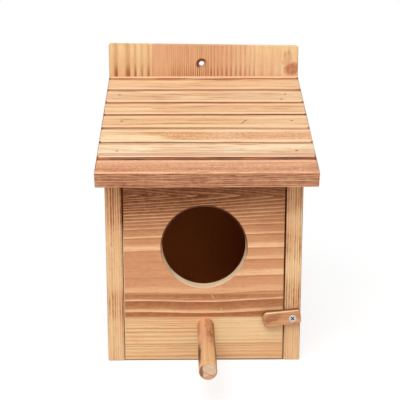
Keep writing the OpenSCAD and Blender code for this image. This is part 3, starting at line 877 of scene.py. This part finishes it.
def brad_heads(name, seats):
    """Oblong brad heads driven flush: each is rings of a squared oval, |a|^2.6 + |b|^2.6 = 1, a little turned.

    The first rings crown the head, the last goes down into the wood. A seat is a centre, two directions in the face
    and the way out of it.
    """
    rng = np.random.default_rng(7)
    turns = np.linspace(0, 2 * math.pi, 21)[:-1]
    half_sizes = np.array([0.85, 0.55])
    circle = np.stack([np.cos(turns), np.sin(turns)], 1)
    oval = np.sign(circle) * np.abs(circle) ** 0.77 * half_sizes
    rings = np.array([(0.25, 0.02), (0.62, 0.05), (0.9, 0.045), (1.0, 0.0), (0.96, -1.2)])
    points, faces = [], []
    count = len(turns)
    for centre, first, second, out in seats:
        lean = rng.uniform(-0.5, 0.5)
        turned = oval @ np.array([[math.cos(lean), math.sin(lean)], [-math.sin(lean), math.cos(lean)]])
        base = sum(len(block) for block in points)
        flat = turned[None] * rings[:, :1, None]
        block = flat[..., :1] * first + flat[..., 1:] * second + rings[:, 1:, None] * out + centre
        points.append(block.reshape(-1, 3) / 1000)
        near = np.arange(count)
        ahead = (near + 1) % count
        for level in range(len(rings) - 1):
            here, below = base + level * count, base + (level + 1) * count
            faces += np.stack([here + near, below + near, below + ahead, here + ahead], 1).tolist()
        faces.append((base + near).tolist())
        faces.append((base + (len(rings) - 1) * count + near[::-1]).tolist())
    mesh = bpy.data.meshes.new(name)
    mesh.from_pydata(np.concatenate(points).tolist(), [], faces)
    mesh.polygons.foreach_set("use_smooth", np.array([len(face) == 4 for face in faces]))
    piece = add_object(name, mesh)
    mesh.materials.append(browned)
    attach(piece, "box")


def brad_seats():
    """Brads down through the roof into the walls, and in through the walls into the floor."""
    x_axis, y_axis, z_axis = np.eye(3)
    slope = np.array([0.0, math.cos(ROOF_SLOPE), math.sin(ROOF_SLOPE)])
    lifted = np.array([0.0, -math.sin(ROOF_SLOPE), math.cos(ROOF_SLOPE)])
    edge = np.array([0.0, ROOF_LOW[1], ROOF_EDGE])
    seats = [(edge + across * x_axis + along * slope, x_axis, slope, lifted) for across, along in ROOF_BRADS]
    middle_floor = (FLOOR_LOW[2] + FLOOR_HIGH[2]) / 2
    for side, x in ((-1.0, LEFT_LOW[0]), (1.0, RIGHT_HIGH[0])):
        seats += [(np.array([x, y, middle_floor]), side * -z_axis, y_axis, side * x_axis) for y in (12.0, 58.0, 101.0)]
    return seats


brad_heads("brad_heads", brad_seats())


# ---------------- studio


def shader(tree, kind, **constants):
    """A shader node with the constants of its sockets; its wire."""
    node = add_node(tree, kind)
    for name, value in constants.items():
        node.inputs[name].default_value = value
    return Wire(node.outputs[0])


def fade(tree, share, first, second):
    """One shader fading into another."""
    node = add_node(tree, "ShaderNodeMixShader")
    for socket, value in zip(node.inputs, (share, first, second)):
        feed(socket, value)
    return Wire(node.outputs[0])


def show_studio(tree, kind, lighting, seen):
    """Ends a tree: the seen shader for camera, glossy and transmission rays, and the lighting one for all others."""
    path = add_node(tree, "ShaderNodeLightPath")
    rays = [Wire(path.outputs[name]) for name in ("Is Camera Ray", "Is Glossy Ray", "Is Transmission Ray")]
    directly = reckon("MAXIMUM", reckon("MAXIMUM", rays[0], rays[1]), rays[2])
    feed(add_node(tree, kind).inputs["Surface"], fade(tree, directly, lighting, seen))


def make_floor():
    """A round pale floor that keeps the object's shadow near it, with a painted shadow under the box's footprint, and
    runs out into the white studio.
    """
    turns = np.linspace(0, 2 * math.pi, 65)[:-1]
    radius, height = 3.0, -0.0004
    rim = np.stack([radius * np.cos(turns), radius * np.sin(turns), 0 * turns + height], 1)
    mesh = bpy.data.meshes.new("studio_floor")
    mesh.from_pydata(rim.tolist(), [], [list(range(len(turns)))])
    floor = add_object("studio_floor", mesh)
    material = bpy.data.materials.new("studio_floor")
    tree = bare_tree(material)
    point = Wire(add_node(tree, "ShaderNodeTexCoord").outputs["Object"])
    x, y, _ = parts(point)
    # Painted shadow: the floor's emission drops under the box's footprint
    under_box_shadow = band(x, LEFT_LOW[0] / 1000, RIGHT_HIGH[0] / 1000, 0.001)
    under_box_shadow = under_box_shadow * band(y, PANEL_LOW[1] / 1000 + 0.001, BACK_HIGH[1] / 1000, 0.001)
    lift = add_node(tree, "ShaderNodeEmission")
    feed(lift.inputs["Strength"], smooth(under_box_shadow, 0.0, 1.0, 0.76, 0.05))
    paper = add_node(tree, "ShaderNodeAddShader")
    feed(paper.inputs[0], shader(tree, "ShaderNodeBsdfDiffuse", Color=(0.3, 0.3, 0.3, 1.0)))
    feed(paper.inputs[1], Wire(lift.outputs[0]))
    far = smooth(vector_math("LENGTH", point), 0.3, 0.7)
    seen = fade(tree, far, Wire(paper.outputs[0]), shader(tree, "ShaderNodeEmission"))
    show_studio(tree, "ShaderNodeOutputMaterial", shader(tree, "ShaderNodeBsdfDiffuse", Color=(0.8, 0.8, 0.8, 1.0)),
                seen)
    mesh.materials.append(material)


def make_world(ambient):
    """Even light from all round, and plain white wherever it is seen."""
    world = bpy.data.worlds.new("studio")
    bpy.context.scene.world = world
    tree = bare_tree(world)
    white = (1.0, 1.0, 1.0, 1.0)
    soft = shader(tree, "ShaderNodeBackground", Color=white, Strength=ambient)
    show_studio(tree, "ShaderNodeOutputWorld", soft, shader(tree, "ShaderNodeBackground", Color=white))


def make_softbox(name, azimuth, elevation, distance, size, power):
    """A square softbox aimed at the middle of the box; azimuth 0 is in front, 90 to the right."""
    lamp = bpy.data.lights.new(name, "AREA")
    lamp.size = size
    lamp.energy = power
    holder = add_object(name, lamp)
    turn, rise = math.radians(azimuth), math.radians(elevation)
    middle_height = 0.14
    holder.location = (
        distance * math.sin(turn) * math.cos(rise),
        -distance * math.cos(turn) * math.cos(rise),
        middle_height + distance * math.sin(rise),
    )
    holder.rotation_euler = Euler((math.pi / 2 - rise, 0.0, turn))


make_floor()
make_world(0.33)
make_softbox("key_softbox", -20.0, 52.0, 1.6, 1.1, 20.0)
make_softbox("fill_softbox", 15.0, 24.0, 2.2, 1.6, 10.0)
make_softbox("back_softbox", 168.0, 26.0, 2.2, 1.6, 13.0)

camera = bpy.data.cameras.new("camera")
camera.sensor_width = 36.0
camera.lens = 83.19
viewer = add_object("camera", camera)
viewer.location = (-0.016235, -0.842948, 0.345087)
viewer.rotation_euler = Euler((math.radians(76.887), math.radians(0.037), math.radians(-0.747)))
bpy.context.scene.camera = viewer
bpy.context.scene.view_settings.view_transform = "Standard"
